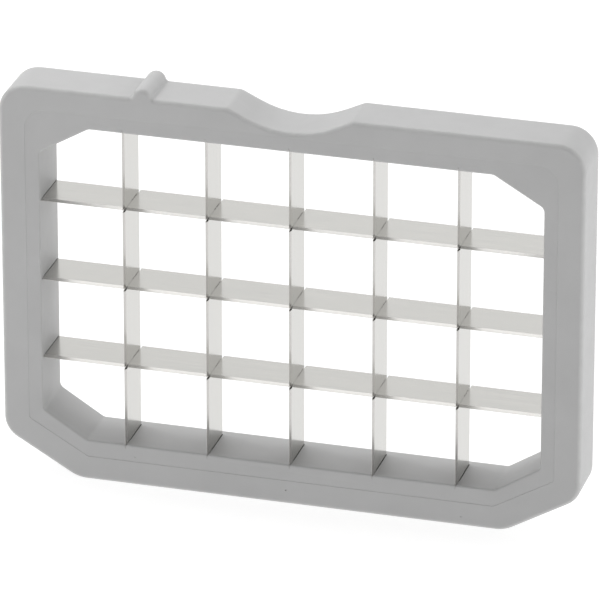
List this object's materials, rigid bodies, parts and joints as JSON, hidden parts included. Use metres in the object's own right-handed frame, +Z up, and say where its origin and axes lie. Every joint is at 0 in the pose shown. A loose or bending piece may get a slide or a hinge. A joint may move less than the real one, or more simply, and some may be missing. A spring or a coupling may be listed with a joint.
{
  "type": "dicing grid",
  "caption": "Upright dicing grid insert for a vegetable dicer: a moulded frame with a shaft notch and a key rib holds crossed steel blades that form square cells.",
  "frame": {"origin": "middle of the bottom edge, halfway through the frame's depth, on the surface the grid stands on", "axes": "+X along the long side, -Y towards the cutting edges and the retaining ring, +Y towards the rear face, +Z up towards the shaft notch"},
  "size_m": [0.1396, 0.014, 0.1009],
  "materials": {
    "frame_plastic": "fine satin, injection moulded, light grey",
    "ring_plastic": "fine satin, injection moulded, light grey",
    "blade_steel": "polished stainless strip, ground cutting bevels"
  },
  "bodies": {
    "root": {"frame_body": "frame_plastic", "front_retaining_ring": "ring_plastic", "vertical_blade_1": "blade_steel", "vertical_blade_2": "blade_steel", "vertical_blade_3": "blade_steel", "vertical_blade_4": "blade_steel", "vertical_blade_5": "blade_steel", "horizontal_blade_1": "blade_steel", "horizontal_blade_2": "blade_steel", "horizontal_blade_3": "blade_steel"}
  },
  "joints": []
}
